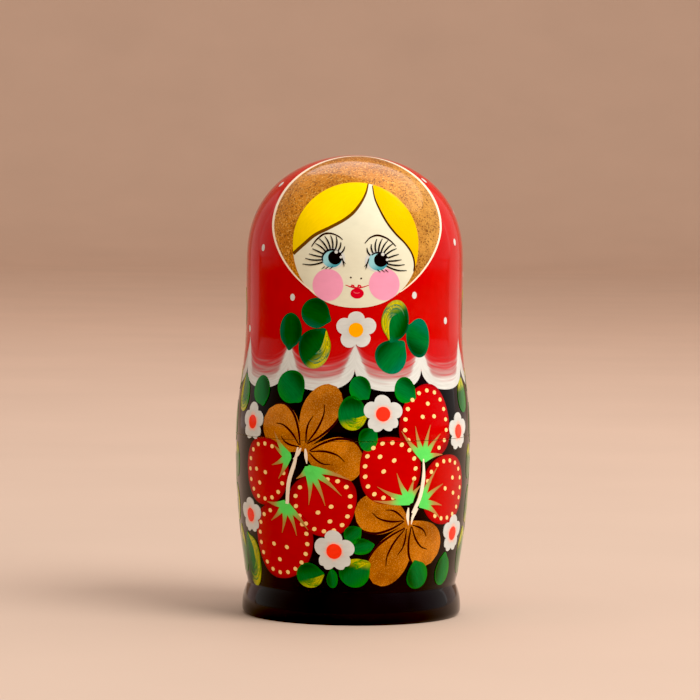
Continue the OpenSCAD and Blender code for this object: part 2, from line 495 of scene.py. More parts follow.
# ---------------------------------------------------------------- the motifs
def leaf(film, place, size, tip, layer=4, light=None, shade=LEAF_MID, tint=LEAF_BRIGHT, back=False):
    """A rounded leaf with one small point. tip and light are directions in degrees: where the point is, and
    which side is brushed with yellow."""
    width, height = size

    def radius(a):
        point = bump_at(a, tip, 0.24)
        return 0.5 * (1 + 0.19 * point - 0.05 * bump_at(a, tip + 60, 0.5) + 0.02 * np.sin(3 * a + width))
    outline = round_outline(radius, spacing=0.6 / min(width, height)) * (width, height)
    patch = blob(outline, centre=(0, 0))
    x, y = patch.points.T
    across = turned(patch.points, -tip + 90)[:, 0] / (0.5 * min(size))
    colour = blend(LEAF_DARK, shade, step(across, -0.9, 0.1))
    colour = blend(colour, tint, 0.75 * step(across, 0.2, 1.1))
    if light is not None:
        way = math.radians(light)
        f = (x * math.cos(way) / width + y * math.sin(way) / height) * 2
        colour = blend(colour, LEAF_YELLOW, 0.85 * step(f, 0.30, 0.85))
    rim = np.linalg.norm(patch.points / (width, height), axis=1) * 2
    colour = blend(colour, tint, 0.4 * step(rim, 0.86, 1.0))
    patch.stroke = turned(patch.points, -8 - (tip if light is None else light))
    film.stamp(patch, *place, layer, colour, back)
    if light is None:
        return
    turn = (light - tip + 180) % 360 - 180
    for k, share in enumerate(np.linspace(0.30, 0.93, 8)):
        f = np.linspace(0, 1, 14)
        a = math.radians(tip) + math.radians(turn) * (0.04 + (1.15 + 0.4 * math.sin(5.1 * k)) * f)
        reach = (share + (0.97 - share) * (1 - f) ** 2) * radius(a)
        path = np.stack([reach * np.cos(a) * width, reach * np.sin(a) * height], -1)
        brush = ribbon(path, 0.52 * np.sin(math.pi * (0.08 + 0.92 * f)) ** 0.8)
        tones = (LEAF_YELLOW, blend(LEAF_YELLOW, tint, 0.45), LEAF_YELLOW * 0.8,
                 blend(shade, LEAF_YELLOW, 0.35))
        run = brush.stroke[:, 0] / max(brush.stroke[:, 0].max(), 1e-6)
        shades = blend(tones[k % len(tones)], tint, step(run, 0.55, 1.0))
        film.stamp(brush, *place, layer + 1, shades, back)


def flower(film, place, radius, centre, layer=7, back=False, notched=(-54, -126)):
    """Five round petals, one of them on top, and a round centre."""
    def outline(a):
        r = 0.68 + 0.32 * np.abs(np.cos(2.5 * (a - math.pi / 2))) ** 0.62
        r = r * (1 + 0.035 * np.sin(2 * a + place[0]) + 0.03 * np.sin(3 * a + place[1]))
        for lobe in notched:
            r = r - 0.10 * bump_at(a, lobe, 0.11)
        return radius * r
    petals = blob(round_outline(outline, 0.5), centre=(0, 0))
    distance = np.linalg.norm(petals.points, axis=1) / radius
    colour = blend(WHITE * 0.9, WHITE, step(distance, 0.3, 0.9))
    if centre is CENTRE_RED:
        colour = blend(srgb(255, 176, 150), colour, step(distance, 0.36, 0.48))
    film.stamp(petals, *place, layer, colour, back)
    film.stamp(disc(radius * 0.37), *place, layer + 1, centre, back)


SEED_SPACING = 3.7        # along the berry's edge
SEEDS_FROM_CALYX = 6.2    # no seed is nearer the star of sepals than this


def berry(films, place, size, tip, narrow, calyx, sepals, layer=4, back=False):
    """A strawberry. size is its half width and half height; it narrows towards the direction tip. calyx is
    the place of its star of sepals, given as (direction, length) each."""
    half_width, half_height = size

    def radius(a):
        return (np.abs(np.cos(a)) ** 2.25 + np.abs(np.sin(a)) ** 2.25) ** (-1 / 2.25)
    way = math.radians(tip)
    axis, side = np.array([math.cos(way), math.sin(way)]), np.array([-math.sin(way), math.cos(way)])

    def shaped(points):
        along, over = points @ axis, points @ side
        points = along[:, None] * axis + (over * (1 - narrow * along))[:, None] * side
        return points * (half_width, half_height)
    unit = round_outline(radius, 0.7 / min(size))
    body = blob(shaped(unit), centre=(0, 0))
    rim = np.linalg.norm(body.points / size, axis=1)
    films["berries"].stamp(body, *place, layer, blend(BERRY_RED, BERRY_RIM, step(rim, 0.86, 1.02)), back)

    outline = films["berries"].outline
    radius_here = float(outline.radius(outline.along(place[1])))
    to_calyx = np.array([math.radians(calyx[0] - place[0]) * radius_here, calyx[1] - place[1]])
    inset = 1 - 2.1 / min(size)
    edge = shaped(unit * inset)
    length = np.linalg.norm(np.roll(edge, -1, 0) - edge, axis=1).sum()
    for x, y in evenly(np.vstack([edge, edge[:1]]), int(length / SEED_SPACING), closed=True):
        if math.hypot(x - to_calyx[0], y - to_calyx[1]) > SEEDS_FROM_CALYX:
            films["seeds"].stamp(disc(0.78, 1.15, 0.6).moved(x, y, tip), *place, layer + 2, CREAM, back)
    for turn in (10, 130, 250):
        x, y = turned([[0.27 * min(size), 0]], tip + turn)[0] - to_calyx * 0.22
        films["seeds"].stamp(disc(0.78, 1.2, 0.6).moved(x, y, tip), *place, layer + 2, CREAM, back)

    for direction, reach in sepals:
        f = np.linspace(0, 1, max(6, int(reach / 0.9)))
        path = np.stack([reach * f, 0.05 * reach * np.sin(math.pi * f)], -1)
        spike = ribbon(path, 1.5 * (1 - f) ** 1.15 + 0.12)
        colour = blend(SEPAL_GREEN, SEPAL_TAN, step(spike.points[:, 0] / reach, 0.25, 0.65))
        colour = blend(colour, BERRY_RED, 0.35 * step(spike.points[:, 0] / reach, 0.7, 1.0))
        films["sepals"].stamp(spike.moved(0, 0, direction), *calyx, layer + 4, colour, back)
    films["sepals"].stamp(disc(1.4, 0.9), *calyx, layer + 5, SEPAL_GREEN, back)


def gold_leaf(films, place, direction, length, half_width, flip, layer=3, back=False):
    """A gilded lobe growing out of a place, with three dark veins, the longest along one edge."""
    f = np.linspace(0, 1, int(length / 0.9))
    widest = 0.60
    opening = 0.08 + 0.92 * np.sin(math.pi / 2 * np.minimum(f / widest, 1)) ** 1.05
    profile = np.where(f < widest, opening, np.sqrt(np.maximum(1 - ((f - widest) / (1 - widest)) ** 2, 0)))
    path = np.stack([length * f, -0.04 * length * flip * np.sin(math.pi * f)], -1)
    lobe = ribbon(path, half_width * profile)
    films["gold_leaves"].stamp(lobe.moved(0, 0, direction), *place, layer, GOLD, back)
    u, v = length, half_width * flip
    veins = [[(0.10, 0.02), (0.30, 0.48), (0.55, 0.82), (0.80, 0.80), (0.95, 0.42)],
             [(0.12, 0.0), (0.34, 0.14), (0.56, 0.10), (0.70, -0.12)],
             [(0.10, -0.06), (0.24, -0.30), (0.36, -0.40), (0.48, -0.36)]]
    for vein, width in zip(veins, (0.9, 0.75, 0.7)):
        stroke = line([(x * u, y * v) for x, y in vein], width, 0.5, 0.35)
        films["veins"].stamp(stroke.moved(0, 0, direction), *place, layer + 1, srgb(48, 8, 10), back)


# The berries: place, half width and half height, narrowing, place of the calyx, sepals
BERRIES = [
    ((-47.5, 54.8), (11.2, 12.4), (250, 0.06), (-32.6, 61.0),
     ((126, 11), (150, 7.5), (206, 8.3), (243, 9.5))),
    ((-14.3, 43.6), (12.5, 11.6), (285, 0.20), (-21.6, 56.6),
     ((-13, 16), (-37, 15.5), (-64, 14.5), (-90, 13), (217, 6))),
    ((-38.5, 29.4), (13.0, 13.8), (252, 0.14), (-34.7, 43.4),
     ((177, 8.5), (223, 9.4), (260, 10.8), (-68, 12.3), (-44, 13))),
    ((38.6, 74.2), (11.6, 13.4), (80, 0.20), (36.4, 60.6),
     ((134, 14), (109, 12.4), (77, 12.3), (48, 11.5), (6, 9))),
    ((18.2, 56.8), (11.8, 12.2), (125, 0.10), (28.6, 45.4),
     ((179, 13.8), (157, 13.6), (118, 11.4), (78, 8), (50, 7))),
    ((52.0, 48.6), (12.3, 12.8), (60, 0.02), (35.2, 44.2),
     ((61, 14.5), (32, 12.4), (-7, 10.5), (-31, 11.5), (105, 4))),
]
# The gilded leaves: place, direction, length, half width, side of the longest vein
GOLD_LEAVES = [
    ((-24, 63.6), 139, 21.5, 8.2, -1),
    ((-24, 63.6), 63, 26.0, 7.2, -1),
    ((-24, 63.6), -11, 22.5, 8.4, 1),
    ((29, 37.6), 169, 21.0, 7.6, 1),
    ((29, 37.6), 240, 26.0, 7.6, -1),
    ((29, 37.6), -53, 20.0, 8.4, -1),
]
# The leaves of the body: place, width and height, direction of the point, side brushed with yellow
BODY_LEAVES = [
    ((-52.4, 84.3), (9.5, 10.5), -70, None), ((-32.7, 86.2), (12, 12), -50, None),
    ((3.2, 86.2), (8, 8.8), -50, None), ((26.3, 85.4), (8.5, 9.5), -35, None),
    ((-0.6, 77.2), (10, 12.6), 0, -85), ((7.1, 67.9), (7, 8.6), 42, None),
    ((-22.7, 17.8), (10, 9.6), 8, -80), ((-10.2, 16.7), (4.2, 6.8), 95, None),
    ((1.5, 19.2), (11.2, 11), 35, 80), ((36.7, 17.6), (9.5, 10.2), 110, None),
    ((56, 18.5), (9, 11.4), 85, None), ((-64, 21.0), (12, 19), 110, -60),
    ((0.2, 33.2), (6.4, 7.0), 35, None), ((4.6, 28.9), (8.4, 6.2), 12, None),
    ((70, 82.0), (8.5, 12), 80, 95), ((-70, 82.0), (9, 13), 100, -95),
]
# The garland between front and back, on the right; the left has its mirror image
SIDE_LEAVES = [
    ((86, 71), (9.5, 14), 70, None), ((79, 57), (7.5, 12), 100, 85), ((90, 52), (9, 13), 80, None),
    ((82, 41), (8, 13), 95, -85), ((92, 33), (9, 13), 75, 80), ((79, 24), (11, 17), 105, 110),
    ((93, 18), (8, 11), 80, None), ((86, 87), (7, 8), 85, 90),
]
WHITE_FLOWERS = [
    ((14.4, 76.9), 7.2), ((-57.6, 72.4), 6.9), ((62, 69.5), 6.9),
    ((-61, 38), 6.9), ((-9, 27), 7.6), ((61.4, 31.9), 6.9),
]
STEMS = [
    [(-27.1, 64.4), (-29.0, 58.5), (-32.2, 51.5), (-33.4, 43.6)],
    [(35.8, 60.4), (36.2, 54.0), (34.6, 46.8), (30.8, 40.6)],
    [(-25.5, 64.2), (-27.4, 61.6), (-29.6, 60.0)],
    [(-23.2, 64.0), (-22.8, 61.0), (-22.4, 58.6)],
    [(28.2, 42.8), (28.0, 39.6), (28.6, 36.4)],
    [(33.6, 42.4), (31.0, 39.6), (30.2, 36.6)],
]
# The leaves on the shawl
SHAWL_LEAVES = [
    ((-20.5, 113.0), (11.0, 11.0), -25, None, 4), ((-35, 106.4), (10.0, 12.6), -95, None, 3),
    ((-21, 100.3), (12.4, 14.6), 55, -55, 5), ((22, 110.6), (10.6, 14.6), -110, 104, 5),
    ((35.4, 104.0), (10.4, 14.2), 150, None, 3), ((19.4, 97.6), (12.2, 12.6), 45, None, 4),
]
DOTS = [
    (-57, 136), (-68, 159), (67, 161), (67, 138.6), (-34, 118.4), (32.6, 119.6),
    (56, 110), (-73, 106), (88, 149), (-88, 148), (90, 126), (-92, 126),
]
BACK_DOTS = [
    (-40, 152), (0, 160), (40, 153), (-20, 140), (22, 141), (-52, 134),
    (52, 133), (-34, 124), (36, 124), (0, 128), (-60, 112), (60, 112),
]

SCALLOPS = 10
SCALLOP = 360 / SCALLOPS        # degrees from one cusp to the next
FIRST_CUSP = 0.5
SCALLOP_POWER = 2.2             # how squarely a scallop is rounded


def from_middle(degrees):
    """Degrees from the middle of the scallop."""
    return (np.asarray(degrees, float) - FIRST_CUSP) % SCALLOP - SCALLOP / 2


def scalloped(degrees, lowest, rise):
    """Height of a scalloped line that rises from its lowest height to each cusp."""
    u = np.minimum(np.abs(from_middle(degrees)) / (SCALLOP / 2), 1)
    return lowest + rise * (1 - (1 - u ** SCALLOP_POWER) ** (1 / SCALLOP_POWER))


def shawl_edge(degrees):
    return scalloped(degrees, 85.0, 8.5)


def brushed_edge(degrees):
    """Where the white brushed up from the shawl's edge has run out."""
    return scalloped(degrees, 97.5, 7.5)


def scallops(films):
    """The shawl's border: white at the edge, then brushed out in thin arcs through pink into the red."""
    film, outline = films["scallops"], films["scallops"].outline
    half, belly = SCALLOP / 2, 43.0         # belly: radius at which the border is drawn flat
    for k in range(SCALLOPS):
        middle = FIRST_CUSP + half + SCALLOP * k
        u = np.sin(np.linspace(-math.pi / 2, math.pi / 2, 49))
        x = np.radians(middle + half * u) * belly
        low = np.stack([x, outline.along(shawl_edge(middle + half * 0.9999 * u))], -1)
        top = np.stack([x, outline.along(brushed_edge(middle + half * 0.999 * u))], -1)
        patch = loft(low, top, 25)
        f = patch.stroke[:, 1]
        side = np.abs(from_middle(np.degrees(patch.points[:, 0] / belly))) / half
        white = 0.20 + 0.66 * step(side, 0.55, 1.0)
        past = (f - white) / (1.02 - white)
        wander = patch.points[:, 0] * 0.11
        arcs = (0.5 + 0.22 * np.sin(31 * f + 3 * k + 2 * np.sin(wander))
                + 0.17 * np.sin(67 * f + 5 * k - 3 * side)
                + 0.11 * np.sin(109 * f + 2 * k + 4 * np.sin(1.7 * wander)))
        colour = blend(WHITE, srgb(186, 142, 138), step(past + 0.20 * (arcs - 0.5), 0.0, 0.30))
        colour = blend(colour, srgb(196, 66, 70), step(past + 0.6 * (arcs - 0.5), 0.16, 0.72))
        colour = blend(colour, SHAWL_RED, step(past + 0.3 * (arcs - 0.5), 0.45, 0.95))
        patch.stroke = patch.stroke * (0.4, 9.0)
        film.lay(patch, patch.points[:, 0] / belly, patch.points[:, 1], 2, colour)


def shawl(films):
    """The red of the shawl, from the border up over the whole head."""
    film = films["shawl"]
    crown, hem = film.outline.z.max(), 1.2   # hem: how far the white border reaches past the red
    film.ring(lambda degrees: shawl_edge(degrees) + hem, level(crown), 1, SHAWL_RED, count=240)


# ---------------------------------------------------------------- the face, in front view
def front_line(outline, points):
    """Points in front view with their heights turned into lengths along the outline."""
    points = np.asarray(points, float)
    return np.stack([points[:, 0], outline.along(points[:, 1])], -1)


def egg(aside, half_width, middle, rise, drop, drop_power, count=128, start=0.0, end=360.0):
    """An egg-shaped line round (aside, middle): an ellipse above, and squarer or more pointed below."""
    a = np.radians(np.linspace(start, end, count, endpoint=abs(end - start) < 360))
    c, s = np.cos(a), np.sin(a)
    q = np.where(s < 0, 2 / drop_power, 1.0)
    x = aside + half_width * np.sign(c) * np.abs(c) ** q
    y = middle + np.where(s < 0, drop, rise) * np.sign(s) * np.abs(s) ** q
    return np.stack([x, y], -1)


HOOD = dict(aside=0.6, half_width=30.4, middle=144.0, rise=25.6, drop=28.8, drop_power=1.75)
HEAD = dict(aside=0.2, half_width=22.6, middle=138.0, rise=22.0, drop=22.9, drop_power=2.2)
LEFT_PARTING = [
    (4.5, 159.6), (3.8, 156.5), (2.1, 153), (-0.5, 149.5), (-3.9, 146.7), (-9.1, 143.8), (-14.4, 141.1),
    (-18.5, 137.6), (-22.2, 134.2),
]
RIGHT_PARTING = [
    (6.0, 158.9), (6.9, 154.4), (8.9, 150), (11.4, 145.7), (14.5, 141.8), (18, 138.3), (20.4, 134.8),
    (21.4, 131.3), (21.25, 128.3),
]
# Middle of the iris, middle of the pupil, glints, which way is outwards, degrees the lashes are turned down
EYES = [
    ((-8.2, 132.8), (-7.1, 133.1), ((-6.7, 135.1), (-5.0, 133.3)), -1, 0),
    ((8.3, 131.9), (9.3, 132.4), ((9.9, 134.4), (11.5, 132.5)), 1, 6),
]
IRIS_RADIUS, LASH_ROOT = 3.55, 3.5
# Direction of the root and of the tip from the middle of the eye, outwards being 180, and reach
LASHES = [
    (203, 192, 10.8), (189, 181, 9.6), (173, 170, 8.4), (154, 155, 7.8), (133, 139, 8.0), (117, 124, 8.4),
    (101, 109, 8.3), (86, 94, 8.2), (70, 80, 8.0), (52, 62, 6.6), (31, 44, 6.3),
]
LIDS = [
    [(-15.6, 136.9), (-13.9, 139.3), (-11.3, 141.4), (-8.7, 141.7), (-6.1, 140.8), (-4.5, 139.5)],
    [(3.5, 138.3), (5.3, 140.3), (7.9, 141.2), (10.6, 140.5), (12.7, 139.2), (14.6, 137.3)],
]


def hair(film, outline, parting, start, end, yellow):
    """One side of the hair: between the parting and the edge of the head."""
    inner = smoothed(front_line(outline, parting), 60)
    outer = evenly(front_line(outline, egg(**HEAD, start=start, end=end)), 60)
    patch = loft(inner, outer, 12)
    patch.stroke = patch.stroke * (1.0, 9.0)
    shade = 0.5 + 0.5 * np.sin(patch.points[:, 0] * 0.21 + patch.points[:, 1] * 0.09)
    film.front(patch, 6, blend(yellow, yellow * 0.86, 0.5 * shade))


def face(films):
    outline = films["face"].outline

    def front(kind, patch, layer, colour):
        films[kind].front(patch, layer, colour)

    def stroke(points, width, layer, colour, start=0.5, end=0.3):
        front("features", line(front_line(outline, points), width, start, end, 0.5), layer, colour)

    def round_spot(patch, place, layer, colour, kind="features"):
        front(kind, patch.moved(*front_line(outline, [place])[0]), layer, colour)

    hood = front_line(outline, egg(**HOOD, count=160))
    middle = front_line(outline, [(0, 144)])[0]
    cloth = blob(hood, centre=middle)
    # the hood turns paler towards the right: a painted sheen of the gold under light from the upper right
    front("hood", cloth, 3, blend(HOOD_GOLD, HOOD_PAINTED_SHEEN, step(cloth.points[:, 0], 4, 30)))
    edge = front_line(outline, egg(**HOOD, count=220, start=244, end=-56))
    f = np.linspace(0, 1, len(edge))
    front("hood_line", ribbon(edge, 0.12 + 0.28 * np.sin(math.pi * f) ** 0.4), 5, LINE_WHITE)

    head = front_line(outline, egg(**HEAD, count=144))
    centre = front_line(outline, [(0, 138)])[0]
    skin = blob(head, centre=centre)
    low = step(skin.points[:, 1], centre[1] - 6, centre[1] - 20)
    front("face", skin, 5, blend(SKIN, SKIN * 0.93, low))
    for cheek in ((-9.6, 123.2), (10.6, 123.6)):
        round_spot(disc(5.5, 1.05), cheek, 6, CHEEK_PINK, "face")

    hair(films["hair"], outline, LEFT_PARTING, 78, 188, HAIR_YELLOW)
    # the right side of the hair is painted darker, a painted shade that evens out the brighter key light
    # there
    hair(films["hair"], outline, RIGHT_PARTING, 74, -23, HAIR_YELLOW_PAINTED_SHADE)
    stroke(LEFT_PARTING, 1.15, 7, srgb(104, 62, 10), 0.4, 1.0)
    stroke(RIGHT_PARTING, 0.65, 7, DARK_BROWN, 0.5, 0.8)

    for (iris, pupil, glints, outwards, turned_down), lid in zip(EYES, LIDS):
        def beside(inwards, up):
            return iris[0] - outwards * inwards, iris[1] + up

        round_spot(disc(4.3, 0.86), beside(0.4, 0), 7, WHITE)
        ball = disc(IRIS_RADIUS, 0.93)
        teal = step(ball.points[:, 0] - ball.points[:, 1], -1.5, 3.5)
        round_spot(ball, iris, 8, blend(IRIS_BLUE, IRIS_TEAL, teal))
        round_spot(disc(2.5), pupil, 9, BLACK)
        for glint, size in zip(glints, (0.62, 0.5)):
            round_spot(disc(size, spacing=0.4), glint, 12, WHITE)
        stroke(lid, 0.66, 8, DARK_BROWN * 0.35, 0.5, 0.5)
        for k, (root, tip, reach) in enumerate(LASHES):
            points = []
            for f in (0.0, 0.3, 0.65, 1.0):
                d = math.radians(root + (tip - root) * f ** 1.7 + turned_down)
                r = LASH_ROOT + (reach - LASH_ROOT) * f
                points.append(beside(r * math.cos(d), r * math.sin(d)))
            stroke(points, 0.55, 10 + k % 2, BLACK, 1.0, 0.4)
        turns = [math.radians(d) for d in range(200, 30, -17)]
        iris_edge = [beside(3.45 * math.cos(a), 3.1 * math.sin(a)) for a in turns]
        stroke(iris_edge, 0.75, 10, LASH_BLACK, 0.4, 0.6)
        stroke([beside(3.3, 1.0), beside(3.9, -0.8), beside(4.9, -1.9)], 0.5, 11, LASH_BLACK, 0.6, 0.2)
        stroke([beside(3.9, -0.9), beside(4.4, -2.9)], 0.4, 11, LASH_BLACK, 0.8, 0.2)
        for x, reach in ((-2.6, 1.1), (-1.2, 1.3), (0.3, 1.2)):
            stroke([beside(x, -3.0), beside(x - reach, -3.9)], 0.28, 11, LASH_BLACK, 1.0, 0.3)

    for nostril in ((-1.4, 126.0), (2.3, 125.7)):
        round_spot(disc(0.34, spacing=0.3), nostril, 7, DARK_BROWN * 0.5)
    mouth = [(-3.3, 123.3), (-1.2, 122.6), (0.9, 122.3), (3.0, 122.6), (5.1, 123.3)]
    stroke(mouth, 0.5, 7, LIP_RED, 0.4, 0.4)
    for x in (-0.7, 1.7):
        stroke([(x - 0.6, 122.5), (x, 123.5), (x + 0.6, 122.4)], 0.6, 8, LIP_RED, 0.7, 0.7)
    round_spot(disc(2.4, 0.78), (0.9, 120.3), 7, LIP_RED)
    stroke([(-0.4, 120.9), (0.6, 120.3), (1.8, 120.6)], 0.4, 8, srgb(226, 90, 96), 0.6, 0.6)


def body_painting(films, back):
    """The composition of berries, gilded leaves and flowers, on the front or on the back."""
    for place, size, (tip, narrow), calyx, sepals in BERRIES:
        berry(films, place, size, tip, narrow, calyx, sepals, back=back)
    for place, direction, length, half_width, flip in GOLD_LEAVES:
        gold_leaf(films, place, direction, length, half_width, flip, back=back)
    for place, size, tip, light in BODY_LEAVES:
        leaf(films["leaves"], place, size, tip, 5, light, back=back)
    for place, radius in WHITE_FLOWERS:
        flower(films["flowers"], place, radius, CENTRE_RED, 7, back)
    outline = films["stems"].outline
    for stem in STEMS:
        x0, z0 = stem[0]
        radius = float(outline.radius(outline.along(z0)))
        points = [(math.radians(x - x0) * radius, z - z0) for x, z in stem]
        brush = line(points, 1.5, 0.35, 0.9) if len(stem) > 3 else line(points, 1.2, 0.35, 0.15)
        films["stems"].stamp(brush, x0, z0, 10, LINE_WHITE, back)


def shawl_painting(films, back):
    for place, size, tip, light, layer in SHAWL_LEAVES:
        # leaves on the left of the shawl are painted a deeper green, a painted shade for the side away from
        # the key light
        shade = LEAF_GREEN_PAINTED_SHADE if place[0] < 0 else LEAF_MID
        leaf(films["leaves"], place, size, tip, layer, light, shade, LEAF_TEAL, back)
    flower(films["flowers"], (0.9, 107.1), 7.1, CENTRE_YELLOW, 7, back, notched=())
    for place in (BACK_DOTS if back else DOTS):
        films["dots"].stamp(disc(1.0, 1.3, 0.5), *place, 4, WHITE, back)


def side_painting(films):
    for place, size, tip, light in SIDE_LEAVES:
        for side in (1, -1):
            mirrored = (tip, light) if side > 0 else (180 - tip, None if light is None else 180 - light)
            leaf(films["leaves"], (side * place[0], place[1]), size, mirrored[0], 3, mirrored[1])
    for side in (1, -1):
        leaf(films["leaves"], (side * 88, 113), (9, 13), 90, 3, 80)
        leaf(films["leaves"], (side * 95, 103), (8, 10), 60, 3, None)


# ---------------------------------------------------------------- materials
class Nodes:
    """Short ways of building a material's node tree. place is the shaded point in the object's frame."""

    def __init__(self, name):
        self.material = bpy.data.materials.new(name)
        self.material.use_nodes = True
        self.tree = self.material.node_tree
        self.shader = self.tree.nodes["Principled BSDF"]
        self.place = self.node("ShaderNodeTexCoord").outputs["Object"]

    def set(self, **values):
        for name, value in values.items():
            self.shader.inputs[name.replace("_", " ")].default_value = value

    def node(self, kind, values=(), **settings):
        made = self.tree.nodes.new(kind)
        for name, value in settings.items():
            setattr(made, name, value)
        for socket, value in dict(values).items():
            if isinstance(value, bpy.types.NodeSocket):
                self.tree.links.new(value, made.inputs[socket])
            else:
                made.inputs[socket].default_value = value
        return made

    def attribute(self, name, output):
        return self.node("ShaderNodeAttribute", attribute_name=name).outputs[output]

    def link(self, output, name):
        self.tree.links.new(output, self.shader.inputs[name])

    def axis(self, name):
        return self.node("ShaderNodeSeparateXYZ", {"Vector": self.place}).outputs[name]

    def math(self, operation, a, b=0.0):
        return self.node("ShaderNodeMath", {0: a, 1: b}, operation=operation).outputs[0]

    def scaled(self, vector, scale):
        return self.node("ShaderNodeVectorMath", {0: vector, 1: scale}, operation="MULTIPLY").outputs[0]

    def noise(self, vector, scale, detail=2.0, distortion=0.0):
        return self.node("ShaderNodeTexNoise", {"Vector": vector, "Scale": scale, "Detail": detail,
                                                "Distortion": distortion}).outputs["Fac"]

    def range(self, value, low, high, to_low, to_high):
        return self.node("ShaderNodeMapRange", {"Value": value, "From Min": low, "From Max": high,
                                                "To Min": to_low, "To Max": to_high}).outputs["Result"]

    def mix(self, factor, a, b, blend_type="MIX"):
        sockets = {0: factor, 6: a, 7: b}       # by number, as the Mix node has three sockets of each name
        return self.node("ShaderNodeMix", sockets, data_type="RGBA", blend_type=blend_type).outputs[2]

    def spread(self, value, low, high, a, b, most=1.0):
        """Colour a where the value is low, going over to b (or most of the way to it) where it is high."""
        return self.mix(self.range(value, low, high, 0.0, most), a, b)

    def times(self, a, b):
        return self.mix(1.0, a, b, "MULTIPLY")

    def bump(self, height, strength, distance):
        return self.node("ShaderNodeBump", {"Height": height, "Strength": strength,
                                            "Distance": distance}).outputs["Normal"]


def rgba(*display_values):
    return (*srgb(*display_values).tolist(), 1.0)


def varnish(nodes, waviness=0.05):
    """The clear varnish over everything: glossy, and not quite even."""
    nodes.set(Coat_Weight=1.0, Coat_Roughness=0.09, Coat_IOR=1.36, Specular_IOR_Level=0.0)
    height = nodes.noise(nodes.place, 160.0, 2.0)
    nodes.link(nodes.bump(height, waviness, 0.0006), "Coat Normal")


def paint_material(name, streaks, roughness=0.35, waviness=0.05):
    """Brushed paint under varnish. Its colour is laid on the film's points; the bristles streak it."""
    nodes = Nodes(name)
    colour, stroke = nodes.attribute("paint", "Color"), nodes.attribute("stroke", "Vector")
    bristles = nodes.noise(nodes.scaled(stroke, (0.16, 1.6, 1.0)), 1.9, 3.0, 0.5)
    cloud = nodes.noise(nodes.place, 90.0, 2.0)
    darker, lighter = (nodes.times(colour, (*tint, 1)) for tint in ((0.62, 0.60, 0.58), (1.12, 1.12, 1.12)))
    painted = nodes.mix(streaks, colour, nodes.spread(bristles, 0.34, 0.66, darker, lighter))
    nodes.link(nodes.spread(cloud, 0.3, 0.7, painted, (0.0, 0.0, 0.0, 1), 0.10), "Base Color")
    nodes.set(Roughness=roughness)
    nodes.link(nodes.bump(bristles, 0.12, 0.0002), "Normal")
    varnish(nodes, waviness)
    return nodes.material


def lacquer_material():
    """The black ground."""
    nodes = Nodes("black_lacquer")
    depth = nodes.noise(nodes.place, 55.0, 3.0)
    nodes.link(nodes.spread(depth, 0.35, 0.7, rgba(7, 5, 7), rgba(15, 12, 17)), "Base Color")
    nodes.set(Roughness=0.3)
    varnish(nodes)
    return nodes.material


def gold_material(name, flake, coarse, glitter):
    """Bronze powder in varnish: an orange brown ground set with fine dark and bright flakes. flake and
    coarse are the scales of the flakes and of the clouds, glitter how much the flakes stand out."""
    nodes = Nodes(name)
    colour = nodes.attribute("paint", "Color")
    cells = nodes.node("ShaderNodeTexVoronoi", {"Vector": nodes.place, "Scale": flake})
    chance = nodes.node("ShaderNodeSeparateColor", {"Color": cells.outputs["Color"]}).outputs
    cloud = nodes.noise(nodes.place, coarse, 3.0, 0.4)
    dull, clear = (nodes.times(colour, (*tint, 1)) for tint in ((0.62, 0.52, 0.42), (1.12, 1.08, 1.0)))
    ground = nodes.spread(cloud, 0.35, 0.68, dull, clear)
    ground = nodes.mix(nodes.range(chance["Red"], 0.0, 0.36, glitter, 0.0), ground, rgba(84, 36, 8))
    bright = nodes.spread(chance["Green"], 0.78, 0.96, ground, rgba(250, 190, 90), 0.8 * glitter)
    nodes.link(bright, "Base Color")
    nodes.link(nodes.range(chance["Green"], 0.80, 0.97, 0.25, 0.8), "Metallic")
    nodes.set(Roughness=0.42)
    nodes.link(nodes.bump(chance["Blue"], 0.5, 0.0001), "Normal")
    varnish(nodes)
    return nodes.material


def linden_material():
    """Bare turned linden: pale, faintly grained along the axis, with the fine rings of the gouge."""
    nodes = Nodes("linden_wood")
    grain = nodes.noise(nodes.scaled(nodes.place, (1.0, 1.0, 0.09)), 620.0, 4.0, 0.6)
    growth = nodes.noise(nodes.scaled(nodes.place, (1.0, 0.25, 0.05)), 130.0, 2.0, 1.2)
    fleck = nodes.noise(nodes.scaled(nodes.place, (1.0, 1.0, 0.15)), 2600.0, 1.0)
    height = nodes.axis("Z")
    wobble = nodes.noise(nodes.scaled(nodes.place, (0.15, 0.15, 1.0)), 900.0, 2.0)
    rings = nodes.math("SINE", nodes.math("ADD", nodes.math("MULTIPLY", height, 9000.0),
                                          nodes.math("MULTIPLY", wobble, 5.0)))
    wood = nodes.spread(grain, 0.3, 0.7, rgba(222, 190, 142), rgba(240, 216, 174))
    wood = nodes.spread(growth, 0.42, 0.62, wood, rgba(206, 166, 116), 0.45)
    wood = nodes.spread(fleck, 0.64, 0.75, wood, rgba(176, 132, 84), 0.35)
    nodes.link(wood, "Base Color")
    nodes.link(nodes.range(grain, 0.3, 0.7, 0.52, 0.68), "Roughness")
    heights = nodes.math("ADD", nodes.math("MULTIPLY", rings, 0.4), grain)
    nodes.link(nodes.bump(heights, 0.35, 0.00012), "Normal")
    return nodes.material


